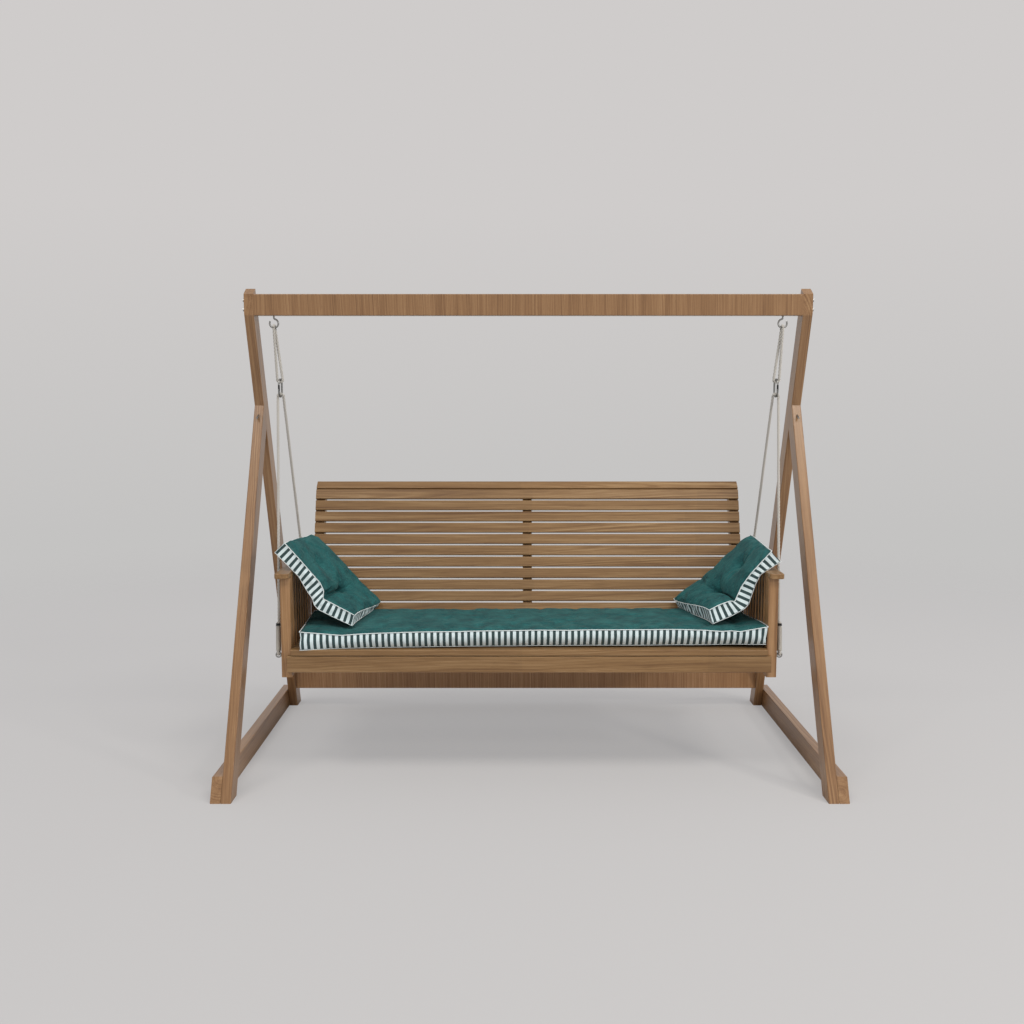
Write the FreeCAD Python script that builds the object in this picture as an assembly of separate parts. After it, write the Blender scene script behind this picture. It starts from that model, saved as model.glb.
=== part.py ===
import FreeCAD, Part
import math
import os

# A garden swing bench hung from a timber stand. Millimetres and degrees.
# Origin: on the floor, in the middle of the stand's feet. +Z up, the sitter looks along -Y.
# "left" is the -X side.

# The stand
base_depth = 1360.0            # toe of the front leg to heel of the back leg
side_room = 154.0              # bench's post to the inner face of a leg
leg_thick = 40.0
leg_depth = 80.0
back_lean = 20.4               # back leg off the plumb line
front_lean = 25.5
runner_height = 92.0
runner_thick = 40.0
beam_underside = 1875.0
beam_depth = 88.0
beam_thick = 40.0
leg_top_cut = 30.0             # slope of the sawn top end of the back leg
stretcher_underside = 97.0
stretcher_height = 90.0
stretcher_thick = 40.0
timber_round = 3.0             # eased edges of the heavy timbers

# Ropes and steel hardware
rope_dia = 12.0
hook_inset = 79.0              # inner face of a leg to the hook under the beam
hook_wire = 7.0
hook_ring_radius = 18.0        # to the middle of the wire
hook_turn_radius = 6.0         # where the shank bends into the ring
hook_ring_drop = 31.5          # underside of the beam to the middle of the ring
hook_ring_sweep = 285.0
hook_thread_length = 60.0
sling_drop = 213.5             # bottom of the hook's ring to the top of the carabiner
carabiner_outset = 39.0        # outwards from the screw eyes on the posts
carabiner_wire = 8.0
carabiner_bend_radius = 22.0   # to the middle of the wire
carabiner_straight = 28.0
carabiner_turn = 4.0          # gate turned outwards from straight ahead
gate_pivot_rise = 4.5          # gate's pin above the end of the lower bend
gate_pin_dia = 3.0
gate_tang_thick = 3.0
gate_pin_play = 0.05           # radial
gate_slot_play = 0.2           # on each side of the tang
gate_gap = 0.4
gate_top_gap = 0.8
gate_round = 1.0
eye_neck = 6.0                 # post's outer face to the ring of a screw eye
eye_ring_height = 515.0
eye_ring_radius = 10.0
eye_wire = 5.0
eye_thread_length = 30.0
rope_gap = 0.4                 # rope to the hook or eye that it goes round
hook_side_gap = 1.0            # beside the hook's wire, where the loop narrows downwards
bar_gap = 1.2                  # rope to the bars of the carabiner
sling_side_gap = 2.0           # beside the carabiner's upper bend, where the loop leans
bight_share = 0.9              # radius of a bight's corner, of its distance from the bar
tail_length = 120.0            # folded-back end of the seat rope, above its eye
whipping_start = 5.0          # above the eye's upper wire
whipping_length = 99.0
whipping_cord = 2.5
whipping_gap = 0.1
band_length = 12.0             # black band above the whipping

# The bench: frame
post_inner_half = 946.0
post_thick = 40.0
post_depth = 50.0
post_foot = 429.0
post_round = 3.0
post_spread = 333.0            # hang line to the middle of a post
armrest_underside = 829.0
armrest_thick = 21.0
armrest_width = 57.0
armrest_nose = 22.0            # in front of the post
armrest_tail = 8.0             # behind the post
armrest_round = 4.0
armrest_corner = 10.0
seat_top = 545.0               # top of the seat slats
seat_slat_thick = 24.0
seat_slat_width = 45.0
seat_slat_count = 8
slat_round = 3.0
slat_end_gap = 1.0
bearer_depth = 50.0
rib_thick = 40.0
rib_upright_depth = 45.0
rib_rear_fillet = 60.0
rib_front_fillet = 8.0
rib_nose_round = 6.0
apron_thick = 20.0
apron_height = 65.0
apron_lap = 14.0                # of a post's front face, at each end
apron_drop = 3.0               # top of the apron below the underside of the slats
rear_rail_thick = 25.0
rear_rail_height = 60.0

# The bench: backrest
back_seat_distance = 54.0      # hang line to the backrest's face, at the seat's top
back_recline = 18.4
back_straight = 583.7          # length of the straight part, up from the seat's top
back_curl_radius = 98.0
back_curl_length = 80.0        # along the backrest's face
back_slat_width = 43.5
back_slat_thick = 18.0
back_slat_count = 13
back_foot_gap = 8.8            # lowest slat above the seat's top

# The bench: side panels
side_rail_height = 60.0
side_slat_thick = 20.0
side_slat_width = 30.0
side_slat_count = 12
side_slat_round = 2.0

# Fasteners
bolt_dia = 8.0
bolt_hole_gap = 0.1
bolt_head_across = 13.0
bolt_head_height = 5.5
washer_dia = 24.0
washer_thick = 2.0
bolt_bite = 60.0               # depth of thread in the second timber
runner_bolt_bite = 32.0
bolt_pair_shares = (0.28, 0.72)
knee_bolt_shares = (0.3, 0.7)

# Cushions
cushion_gap = 0.3
seat_cushion_end_gap = 14.0    # to the posts
seat_cushion_edge = 74.0       # height of the striped boxing
seat_cushion_crown = 11.0
seat_cushion_overhang = 8.0    # in front of the front slat
seat_cushion_back_slope = 20.0
tuft_columns = 7
tuft_pitch = 252.0
tuft_sink = 8.0
tuft_draw_in = 5.0
end_draw_in = 14.0
end_round = 40.0
pillow_width = 384.0
pillow_forward = 118.0         # hang line to the middle of the pillow's width
left_front_reach = 235.0       # inner face of a post to the pillow's inner end, at its front edge
left_front_rise = 29.5         # inner end above the seat cushion's edge
left_front_seat_run = 154.0    # part that lies over the seat
left_front_side_run = 117.6    # part beside the side slats
left_front_top_run = 141.0
left_front_seat_slope = 31.0
left_front_side_slope = 66.0
left_front_top_slope = 44.0
left_back_reach = 286.0
left_back_rise = 29.5
left_back_seat_run = 137.0
left_back_side_run = 134.6
left_back_top_run = 138.0
left_back_seat_slope = 38.0
left_back_side_slope = 51.0
left_back_top_slope = 45.0
right_front_reach = 216.0
right_front_rise = 48.0
right_front_seat_run = 121.0
right_front_side_run = 143.2
right_front_top_run = 110.0
right_front_seat_slope = 24.0
right_front_side_slope = 65.0
right_front_top_slope = 43.0
right_back_reach = 299.0
right_back_rise = 27.2
right_back_seat_run = 150.0
right_back_side_run = 155.2
right_back_top_run = 130.0
right_back_seat_slope = 37.0
right_back_side_slope = 43.0
right_back_top_slope = 40.0
pillow_thick = 64.0
pillow_end_thick = 50.0
pillow_fold_thick = 44.0
pillow_crown = 9.0             # on each face
pillow_end_crown = 3.0
pillow_draw_in = 10.0
pillow_under_hollow = 3.0      # pressed in underneath
pillow_front_drop = 6.0        # boxing's lower seam, further below the middle line than the upper is above
pillow_back_drop = 8.0
pillow_bend = 38.0             # from a fold or an end to where the pillow is at its fullest

# Places worked out from the sizes above
tan_back = math.tan(math.radians(back_lean))
tan_front = math.tan(math.radians(front_lean))
back_leg_run = leg_depth / math.cos(math.radians(back_lean))
front_leg_run = leg_depth / math.cos(math.radians(front_lean))
heel = base_depth / 2
toe = -base_depth / 2
post_outer_half = post_inner_half + post_thick
frame_inner_half = post_outer_half + side_room
frame_outer_half = frame_inner_half + leg_thick
eye_half = post_outer_half + eye_neck + eye_ring_radius
carabiner_half = eye_half + carabiner_outset
hook_half = frame_inner_half - hook_inset
armrest_half = post_inner_half + armrest_width
apron_half = post_inner_half + apron_lap
seat_cushion_half = post_inner_half - seat_cushion_end_gap
beam_top = beam_underside + beam_depth


def back_leg_front(z):
    """Y of the back leg's front face at height z."""
    return heel - back_leg_run - z * tan_back


def front_leg_front(z):
    """Y of the front leg's front face at height z."""
    return toe + z * tan_front


beam_front = back_leg_front(beam_underside)
hang_y = beam_front + beam_thick / 2
hook_ring_z = beam_underside - hook_ring_drop
hook_bar_z = hook_ring_z - hook_ring_radius
carabiner_top_z = hook_bar_z - sling_drop
carabiner_z = carabiner_top_z - carabiner_bend_radius - carabiner_straight / 2
carabiner_bar_z = carabiner_z - carabiner_bend_radius - carabiner_straight / 2
rope_radius = rope_dia / 2
bar_bight = rope_radius + carabiner_wire / 2 + bar_gap
hook_bight = rope_radius + hook_wire / 2 + rope_gap
eye_bight = rope_radius + eye_wire / 2 + rope_gap
eye_wire_z = eye_ring_height + eye_ring_radius
post_front = hang_y - post_spread - post_depth / 2
post_back = hang_y + post_spread + post_depth / 2
bearer_top = seat_top - seat_slat_thick
apron_front = post_front - apron_thick
back_foot_y = hang_y + back_seat_distance
back_face_length = back_straight + back_curl_length
back_slat_room = back_face_length - back_foot_gap - back_slat_width
back_slat_pitch = back_slat_room / (back_slat_count - 1)
rib_half_places = (-post_inner_half + rib_thick / 2, 0.0, post_inner_half - rib_thick / 2)

X_AXIS = FreeCAD.Vector(1, 0, 0)
Y_AXIS = FreeCAD.Vector(0, 1, 0)
Z_AXIS = FreeCAD.Vector(0, 0, 1)
bar_side = FreeCAD.Vector(math.cos(math.radians(carabiner_turn)), -math.sin(math.radians(carabiner_turn)), 0)


def unit(vector):
    """The same direction, one long."""
    return vector / vector.Length


def rounded_edges(points, radii, closed):
    """Straight runs through the points, joined by tangent arcs of the given radii."""
    count = len(points)
    starts = []
    ends = []
    middles = []
    for i, corner in enumerate(points):
        is_end = not closed and i in (0, count - 1)
        if radii[i] == 0 or is_end:
            starts.append(corner)
            ends.append(corner)
            middles.append(None)
            continue
        before = unit(points[i - 1] - corner)
        after = unit(points[(i + 1) % count] - corner)
        half_angle = before.getAngle(after) / 2
        reach = radii[i] / math.tan(half_angle)
        inside = unit(before + after)
        starts.append(corner + before * reach)
        ends.append(corner + after * reach)
        middles.append(corner + inside * (radii[i] / math.sin(half_angle) - radii[i]))
    edges = []
    for i in range(count):
        if middles[i] is not None:
            edges.append(Part.Arc(starts[i], middles[i], ends[i]).toShape())
        if i == count - 1 and not closed:
            break
        target = starts[(i + 1) % count]
        if (target - ends[i]).Length > Part.Precision.confusion():
            edges.append(Part.LineSegment(ends[i], target).toShape())
    return edges


def plank(corners, middle_x, thick):
    """A board sawn to an outline in the YZ plane; corners are (y, z, radius)."""
    x = middle_x - thick / 2
    points = [FreeCAD.Vector(x, y, z) for y, z, radius in corners]
    radii = [radius for y, z, radius in corners]
    wire = Part.Wire(rounded_edges(points, radii, True))
    return Part.Face(wire).extrude(X_AXIS * thick)


def bar_outline(y, z, depth, height, radius):
    """Corners of a rectangle whose lower front corner is at (y, z)."""
    return [(y, z, radius), (y + depth, z, radius),
            (y + depth, z + height, radius), (y, z + height, radius)]


def turned_bar_outline(middle, along, width, thick, radius):
    """Corners of a slat lying with its width along a direction in the YZ plane, its face in the middle."""
    across = (along[1], -along[0])
    corners = []
    for side, depth in ((-1, 0), (1, 0), (1, 1), (-1, 1)):
        y = middle[0] + side * along[0] * width / 2 + depth * across[0] * thick
        z = middle[1] + side * along[1] * width / 2 + depth * across[1] * thick
        corners.append((y, z, radius))
    return corners


def eased(solid, radius, least_length):
    """The solid with its long straight edges rounded."""
    edges = [e for e in solid.Edges if e.Length > least_length]
    return solid.makeFillet(radius, edges)


def rod(start, direction, length, radius):
    return Part.makeCylinder(radius, length, start, direction)


def tube(edges, radius):
    """A round rope or wire along joined edges."""
    path = Part.Wire(Part.__sortEdges__(edges))
    start = path.Edges[0].valueAt(path.Edges[0].FirstParameter)
    heading = path.Edges[0].tangentAt(path.Edges[0].FirstParameter)
    section = Part.Wire(Part.makeCircle(radius, start, heading))
    return path.makePipeShell([section], True, False)


def tube_report(name, shape, edges, radius):
    """Print the length, the arcs' radii and how the volume compares with section times length."""
    length = sum(edge.Length for edge in edges)
    arcs = [round(e.Curve.Radius, 2) for e in edges if hasattr(e.Curve, "Radius")]
    ratio = shape.Volume / (math.pi * radius ** 2 * length)
    print(name, "length", round(length, 1), "arc radii", arcs, "volume ratio", round(ratio, 5))


def mirrored(shape):
    """The same piece on the other side of the middle plane."""
    return shape.mirror(FreeCAD.Vector(), X_AXIS)


def save(name, shape):
    shape.exportStep("parts/" + name + ".step")


def save_pair(name, left_shape):
    """A piece of the left side and its mirror image on the right."""
    save(name + "_left", left_shape)
    save(name + "_right", mirrored(left_shape))


def bolt(seat, direction, length):
    """A hex bolt with its washer on the surface at seat; the shank points along direction."""
    washer = rod(seat, -direction, washer_thick, washer_dia / 2)
    head_base = seat - direction * washer_thick
    corner_radius = bolt_head_across / 2 / math.cos(math.pi / 6)
    side = X_AXIS.cross(direction)
    if side.Length < Part.Precision.confusion():
        side = Y_AXIS
    side = unit(side)
    other = direction.cross(side)
    corners = []
    for step in range(6):
        angle = math.tau * step / 6
        corners.append(head_base + (side * math.cos(angle) + other * math.sin(angle)) * corner_radius)
    head = Part.Face(Part.makePolygon(corners + corners[:1])).extrude(-direction * bolt_head_height)
    shank = rod(head_base, direction, length + washer_thick, bolt_dia / 2)
    return washer.fuse([head, shank]).removeSplitter()


def bolt_hole(seat, direction, length):
    """The hole that a bolt needs, a little longer than its shank."""
    radius = bolt_dia / 2 + bolt_hole_gap
    return rod(seat, direction, length + bolt_hole_gap, radius)


# Fastener places, left side


def beam_bolt_places():
    return [FreeCAD.Vector(-frame_outer_half, hang_y, beam_underside + beam_depth * share)
            for share in bolt_pair_shares]


def stretcher_middle_y():
    z = stretcher_underside + stretcher_height / 2
    return back_leg_front(z) + back_leg_run / 2


def stretcher_bolt_places():
    return [FreeCAD.Vector(-frame_outer_half, stretcher_middle_y(), stretcher_underside + stretcher_height * share)
            for share in bolt_pair_shares]


def runner_bolt_places():
    """Two bolts through the runner into each leg, on the leg's middle line."""
    x = -frame_outer_half - runner_thick
    places = []
    for share in bolt_pair_shares:
        z = runner_height * share
        places.append(FreeCAD.Vector(x, front_leg_front(z) + front_leg_run / 2, z))
        places.append(FreeCAD.Vector(x, back_leg_front(z) + back_leg_run / 2, z))
    return places


def knee_top_and_bottom():
    """Heights at which the front leg's two faces meet the back leg's front face."""
    span = back_leg_front(0) - toe
    slope = tan_back + tan_front
    return span / slope, (span - front_leg_run) / slope


def knee_bolt_places():
    """On the back leg's rear face, square to it, into the head of the front leg."""
    top, bottom = knee_top_and_bottom()
    lean = math.radians(back_lean)
    inward = FreeCAD.Vector(0, -math.cos(lean), -math.sin(lean))
    places = []
    for share in knee_bolt_shares:
        z = bottom + (top - bottom) * share
        on_front = FreeCAD.Vector(-frame_outer_half + leg_thick / 2, back_leg_front(z), z)
        places.append((on_front - inward * leg_depth, inward))
    return places


# The stand


def back_leg():
    def rear(z):
        return back_leg_front(z) + back_leg_run

    rise = math.tan(math.radians(leg_top_cut))
    end_y = (rear(beam_top) + beam_front * rise * tan_back) / (1 + rise * tan_back)
    end_z = beam_top + (end_y - beam_front) * rise
    corners = [(heel, 0, 0), (heel - back_leg_run, 0, 0), (beam_front, beam_underside, 0),
               (beam_front, beam_top, 0), (end_y, end_z, 0)]
    leg = plank(corners, -frame_inner_half - leg_thick / 2, leg_thick)
    leg = eased(leg, timber_round, beam_depth + leg_depth)
    for place in beam_bolt_places():
        leg = leg.cut(bolt_hole(place, X_AXIS, leg_thick))
    for place in stretcher_bolt_places():
        leg = leg.cut(bolt_hole(place, X_AXIS, leg_thick))
    for place, inward in knee_bolt_places():
        leg = leg.cut(bolt_hole(place, inward, leg_depth))
    for place in runner_bolt_places():
        leg = leg.cut(bolt_hole(place, X_AXIS, runner_thick + runner_bolt_bite))
    return leg


def front_leg():
    top, bottom = knee_top_and_bottom()
    corners = [(toe, 0, 0), (toe + front_leg_run, 0, 0),
               (back_leg_front(bottom), bottom, 0), (back_leg_front(top), top, 0)]
    leg = plank(corners, -frame_inner_half - leg_thick / 2, leg_thick)
    leg = eased(leg, timber_round, 4 * leg_depth)
    for place, inward in knee_bolt_places():
        leg = leg.cut(bolt_hole(place, inward, leg_depth + bolt_bite))
    for place in runner_bolt_places():
        leg = leg.cut(bolt_hole(place, X_AXIS, runner_thick + runner_bolt_bite))
    return leg


def runner():
    """Lies outside both legs, its ends sawn to their slopes."""
    corners = [(toe, 0, 0), (heel, 0, 0),
               (heel - runner_height * tan_back, runner_height, 0),
               (toe + runner_height * tan_front, runner_height, 0)]
    beam = plank(corners, -frame_outer_half - runner_thick / 2, runner_thick)
    beam = eased(beam, timber_round, 2 * runner_height)
    for place in runner_bolt_places():
        beam = beam.cut(bolt_hole(place, X_AXIS, runner_thick))
    return beam


def cross_timber(outline, bolt_places):
    """A timber between the two side frames, bored for its bolts at both ends."""
    timber = plank(outline, 0, 2 * frame_inner_half)
    for place in bolt_places:
        hole = bolt_hole(place, X_AXIS, leg_thick + bolt_bite)
        timber = timber.cut(hole)
        timber = timber.cut(mirrored(hole))
    return timber


def top_beam():
    outline = bar_outline(beam_front, beam_underside, beam_thick, beam_depth, timber_round)
    timber = cross_timber(outline, beam_bolt_places())
    for side in (-1, 1):
        foot = FreeCAD.Vector(side * hook_half, hang_y, beam_underside)
        timber = timber.cut(rod(foot, Z_AXIS, hook_thread_length + bolt_hole_gap, hook_wire / 2 + bolt_hole_gap))
    return timber


def rear_stretcher():
    outline = bar_outline(stretcher_middle_y() - stretcher_thick / 2, stretcher_underside,
                          stretcher_thick, stretcher_height, timber_round)
    return cross_timber(outline, stretcher_bolt_places())


def both_sides(solids):
    """One node of like solids: those given and their mirror images."""
    return Part.makeCompound(solids + [mirrored(solid) for solid in solids])


def make_stand():
    save_pair("back_leg", back_leg())
    save_pair("front_leg", front_leg())
    save_pair("runner", runner())
    save("top_beam", top_beam())
    save("rear_stretcher", rear_stretcher())
    save("beam_bolts", both_sides([bolt(p, X_AXIS, leg_thick + bolt_bite) for p in beam_bolt_places()]))
    save("stretcher_bolts", both_sides([bolt(p, X_AXIS, leg_thick + bolt_bite) for p in stretcher_bolt_places()]))
    save("runner_bolts", both_sides([bolt(p, X_AXIS, runner_thick + runner_bolt_bite) for p in runner_bolt_places()]))
    save("knee_bolts", both_sides([bolt(p, d, leg_depth + bolt_bite) for p, d in knee_bolt_places()]))


# Hooks, ropes and carabiners


def beam_hook():
    """An open ring of wire on a shank that screws into the beam; the mouth is on the outer side."""
    x = -hook_half
    middle = FreeCAD.Vector(x, hang_y, hook_ring_z)
    reach = hook_ring_radius + hook_turn_radius
    turn_z = hook_ring_z + math.sqrt(reach ** 2 - hook_turn_radius ** 2)
    start_angle = math.asin(hook_turn_radius / reach)

    def on_ring(angle):
        return middle + FreeCAD.Vector(math.sin(angle), 0, math.cos(angle)) * hook_ring_radius

    def on_turn(angle):
        centre = FreeCAD.Vector(x + hook_turn_radius, hang_y, turn_z)
        return centre - FreeCAD.Vector(math.cos(angle), 0, math.sin(angle)) * hook_turn_radius

    turn_end = math.pi / 2 - start_angle
    sweep = math.radians(hook_ring_sweep)
    edges = [Part.LineSegment(FreeCAD.Vector(x, hang_y, beam_underside + hook_thread_length), on_turn(0)).toShape(),
             Part.Arc(on_turn(0), on_turn(turn_end / 2), on_turn(turn_end)).toShape()]
    for step in range(2):
        first = start_angle + sweep * step / 2
        edges.append(Part.Arc(on_ring(first), on_ring(first + sweep / 4), on_ring(first + sweep / 2)).toShape())
    shape = tube(edges, hook_wire / 2)
    tube_report("beam_hook", shape, edges, hook_wire / 2)
    return shape


def carabiner_body():
    """An oval of wire, open at the front where the gate closes it; the gate's pin stands in its tang."""
    x = -carabiner_half
    half = carabiner_straight / 2
    front = hang_y - carabiner_bend_radius
    pivot = FreeCAD.Vector(x, front, carabiner_z - half + gate_pivot_rise)

    def at(y, z):
        return FreeCAD.Vector(x, hang_y + y, carabiner_z + z)

    reach = carabiner_bend_radius
    edges = [Part.Arc(at(-reach, -half), at(0, -half - reach), at(reach, -half)).toShape(),
             Part.LineSegment(at(reach, -half), at(reach, half)).toShape(),
             Part.Arc(at(reach, half), at(0, half + reach), at(-reach, half)).toShape()]
    body = tube(edges, carabiner_wire / 2)
    tube_report("carabiner", body, edges, carabiner_wire / 2)
    tang_base = FreeCAD.Vector(x - gate_tang_thick / 2, front - carabiner_wire / 2, carabiner_z - half)
    tang = Part.makeBox(gate_tang_thick, carabiner_wire, gate_pivot_rise, tang_base)
    knuckle = rod(pivot - X_AXIS * (gate_tang_thick / 2), X_AXIS, gate_tang_thick, carabiner_wire / 2)
    pin_half = carabiner_wire / 2 - gate_gap
    pin = rod(pivot - X_AXIS * pin_half, X_AXIS, 2 * pin_half, gate_pin_dia / 2)
    return body.fuse([tang, knuckle, pin]).removeSplitter()


def carabiner_gate():
    """A rod forked over the tang, with a round foot so that it can swing inwards."""
    x = -carabiner_half
    half = carabiner_straight / 2
    front = hang_y - carabiner_bend_radius
    radius = carabiner_wire / 2
    pivot = FreeCAD.Vector(x, front, carabiner_z - half + gate_pivot_rise)
    top = carabiner_z + half - gate_top_gap
    stem = rod(pivot, Z_AXIS, top - pivot.z, radius)
    foot = rod(pivot - Z_AXIS * radius, Z_AXIS, radius, radius)
    foot = foot.common(rod(pivot - X_AXIS * radius, X_AXIS, 2 * radius, radius))
    gate = stem.fuse(foot).removeSplitter()
    slot_half = gate_tang_thick / 2 + gate_slot_play
    slot_base = pivot - FreeCAD.Vector(slot_half, carabiner_wire, carabiner_wire)
    slot = Part.makeBox(2 * slot_half, 2 * carabiner_wire, carabiner_wire + radius + gate_gap, slot_base)
    hole = rod(pivot - X_AXIS * carabiner_wire, X_AXIS, 2 * carabiner_wire, gate_pin_dia / 2 + gate_pin_play)
    crown = [e for e in gate.Edges if e.BoundBox.ZMin > top - gate_round]
    gate = gate.makeFillet(gate_round, crown)
    return gate.cut(slot).cut(hole)


def turned_out(shape):
    """The left carabiner's pieces, turned about the hang line's plumb so that the gate faces outwards."""
    shape = shape.copy()
    shape.rotate(FreeCAD.Vector(-carabiner_half, hang_y, 0), Z_AXIS, -carabiner_turn)
    return shape


def sling_rope():
    """An endless loop: over the hook's ring, a quarter turn, and under the carabiner's upper bend."""
    hook_x = -hook_half
    ring_x = -carabiner_half
    top_z = hook_bar_z + hook_bight
    low_z = carabiner_top_z - bar_bight
    top_half = rope_radius + hook_wire / 2 + hook_side_gap
    low_half = rope_radius + carabiner_wire / 2 + sling_side_gap
    points = [FreeCAD.Vector(hook_x, hang_y - top_half, top_z),
              FreeCAD.Vector(ring_x, hang_y, low_z) - bar_side * low_half,
              FreeCAD.Vector(ring_x, hang_y, low_z) + bar_side * low_half,
              FreeCAD.Vector(hook_x, hang_y + top_half, top_z)]
    radii = [hook_bight * bight_share, bar_bight * bight_share, bar_bight * bight_share, hook_bight * bight_share]
    edges = rounded_edges(points, radii, True)
    middle = len(edges) // 2
    shape = tube(edges[:middle], rope_radius).fuse(tube(edges[middle:], rope_radius)).removeSplitter()
    tube_report("sling_rope", shape, edges, rope_radius)
    print("sling_rope points", [tuple(round(v, 1) for v in p) for p in points])
    return shape


def bar_corner(side):
    """Where the seat rope turns over the carabiner's lower bend, on its front run or its rear run."""
    return FreeCAD.Vector(-carabiner_half, hang_y, carabiner_bar_z + bar_bight) + bar_side * (side * bar_bight)


def rope_end(side):
    """Eye wire's middle, the rope's heading away from it, and the direction from tail to rope.

    side is -1 for the front eye and 1 for the rear one.
    """
    wire = FreeCAD.Vector(-eye_half, hang_y + side * post_spread, eye_wire_z)
    corner = bar_corner(side)
    heading = unit(corner - wire)
    for step in range(4):
        across = unit(heading.cross(X_AXIS)) * -side
        heading = unit(corner - wire - across * eye_bight)
    return wire, heading, across


def seat_rope_route():
    """Corners of the rope from the front tail, round the eye, over the carabiner and down to the rear tail."""
    points = []
    radii = []
    for side in (-1, 1):
        wire, heading, across = rope_end(side)
        tail = wire - across * eye_bight + heading * tail_length
        tail_corner = wire - across * eye_bight - heading * eye_bight
        rope_corner = wire + across * eye_bight - heading * eye_bight
        half = [tail, tail_corner, rope_corner, bar_corner(side)]
        half_radii = [0, eye_bight, eye_bight, bar_bight * bight_share]
        if side == 1:
            half.reverse()
            half_radii.reverse()
        points += half
        radii += half_radii
    return points, radii


def seat_rope():
    """One rope for each side: front eye, over the carabiner's lower bend, rear eye."""
    points, radii = seat_rope_route()
    edges = rounded_edges(points, radii, False)
    shape = tube(edges, rope_radius)
    tube_report("seat_rope", shape, edges, rope_radius)
    print("seat_rope points", [tuple(round(v, 1) for v in p) for p in points])
    return shape


def rope_sleeve(side, start, length):
    """A close winding of cord that binds the folded end to the rope, as a sleeve."""
    wire, heading, across = rope_end(side)
    base = wire + heading * start

    def loop(radius):
        flank = heading.cross(across) * radius
        left = base - across * eye_bight
        right = base + across * eye_bight
        return Part.Wire([
            Part.LineSegment(left + flank, right + flank).toShape(),
            Part.Arc(right + flank, right + across * radius, right - flank).toShape(),
            Part.LineSegment(right - flank, left - flank).toShape(),
            Part.Arc(left - flank, left - across * radius, left + flank).toShape()])

    inner = rope_radius + whipping_gap
    face = Part.Face([loop(inner + whipping_cord), loop(inner)])
    return face.extrude(heading * length)


def screw_eye(side):
    """A ring of wire on a shank that screws into the post's outer face."""
    middle = FreeCAD.Vector(-eye_half, hang_y + side * post_spread, eye_ring_height)
    ring = Part.makeTorus(eye_ring_radius, eye_wire / 2, middle, Y_AXIS)
    shank_length = eye_neck + eye_thread_length
    shank = rod(middle + X_AXIS * eye_ring_radius, X_AXIS, shank_length, eye_wire / 2)
    return ring.fuse(shank).removeSplitter()


def make_hangers():
    save_pair("top_hook", beam_hook())
    save_pair("sling_rope", sling_rope())
    save_pair("carabiner", turned_out(carabiner_body()))
    save_pair("carabiner_gate", turned_out(carabiner_gate()))
    save_pair("seat_rope", seat_rope())
    whippings = [rope_sleeve(side, whipping_start, whipping_length) for side in (-1, 1)]
    save_pair("rope_whippings", Part.makeCompound(whippings))
    band_start = whipping_start + whipping_length
    save("rope_bands", both_sides([rope_sleeve(side, band_start, band_length) for side in (-1, 1)]))
    save_pair("seat_eyes", Part.makeCompound([screw_eye(-1), screw_eye(1)]))


# The bench


def post(side):
    base = FreeCAD.Vector(-post_outer_half, hang_y + side * post_spread - post_depth / 2, post_foot)
    body = Part.makeBox(post_thick, post_depth, armrest_underside - post_foot, base)
    body = eased(body, post_round, 2 * post_depth)
    hole = rod(FreeCAD.Vector(-post_outer_half, hang_y + side * post_spread, eye_ring_height), X_AXIS,
               eye_thread_length + bolt_hole_gap, eye_wire / 2 + bolt_hole_gap)
    return body.cut(hole)


def armrest():
    start = FreeCAD.Vector(-armrest_half, post_front - armrest_nose, armrest_underside)
    length = post_back + armrest_tail - start.y
    board = Part.makeBox(armrest_width, length, armrest_thick, start)
    corners = [e for e in board.Edges if e.BoundBox.XLength + e.BoundBox.YLength < Part.Precision.confusion()]
    board = board.makeFillet(armrest_corner, corners)
    rim = [e for e in board.Edges if e.BoundBox.ZLength < Part.Precision.confusion()]
    return board.makeFillet(armrest_round, rim)


def side_rail():
    length = 2 * post_spread - post_depth
    base = FreeCAD.Vector(-post_outer_half, hang_y - length / 2, bearer_top - side_rail_height)
    return eased(Part.makeBox(post_thick, length, side_rail_height, base), post_round, 2 * side_rail_height)


def side_slats():
    """Upright slats between the side rail and the armrest."""
    span = 2 * post_spread - post_depth
    gap = (span - side_slat_count * side_slat_width) / (side_slat_count + 1)
    x = -post_inner_half - post_thick / 2 - side_slat_thick / 2
    slats = []
    for index in range(side_slat_count):
        y = hang_y - span / 2 + gap + index * (side_slat_width + gap)
        slat = Part.makeBox(side_slat_thick, side_slat_width, armrest_underside - bearer_top,
                            FreeCAD.Vector(x, y, bearer_top))
        slats.append(eased(slat, side_slat_round, 2 * side_slat_width))
    return Part.makeCompound(slats)


def apron():
    top = bearer_top - apron_drop
    outline = bar_outline(apron_front, top - apron_height, apron_thick, apron_height, slat_round)
    return plank(outline, 0, 2 * apron_half)


def rear_rail():
    outline = bar_outline(post_back - post_depth, bearer_top - rear_rail_height,
                          rear_rail_thick, rear_rail_height, slat_round)
    return plank(outline, 0, 2 * post_inner_half)


def seat_slat(index):
    first = apron_front
    room = back_foot_y - slat_round - first
    step = (room - seat_slat_width) / (seat_slat_count - 1)
    outline = bar_outline(first + index * step, bearer_top, seat_slat_width, seat_slat_thick, slat_round)
    return plank(outline, 0, 2 * (post_inner_half - slat_end_gap))


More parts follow.
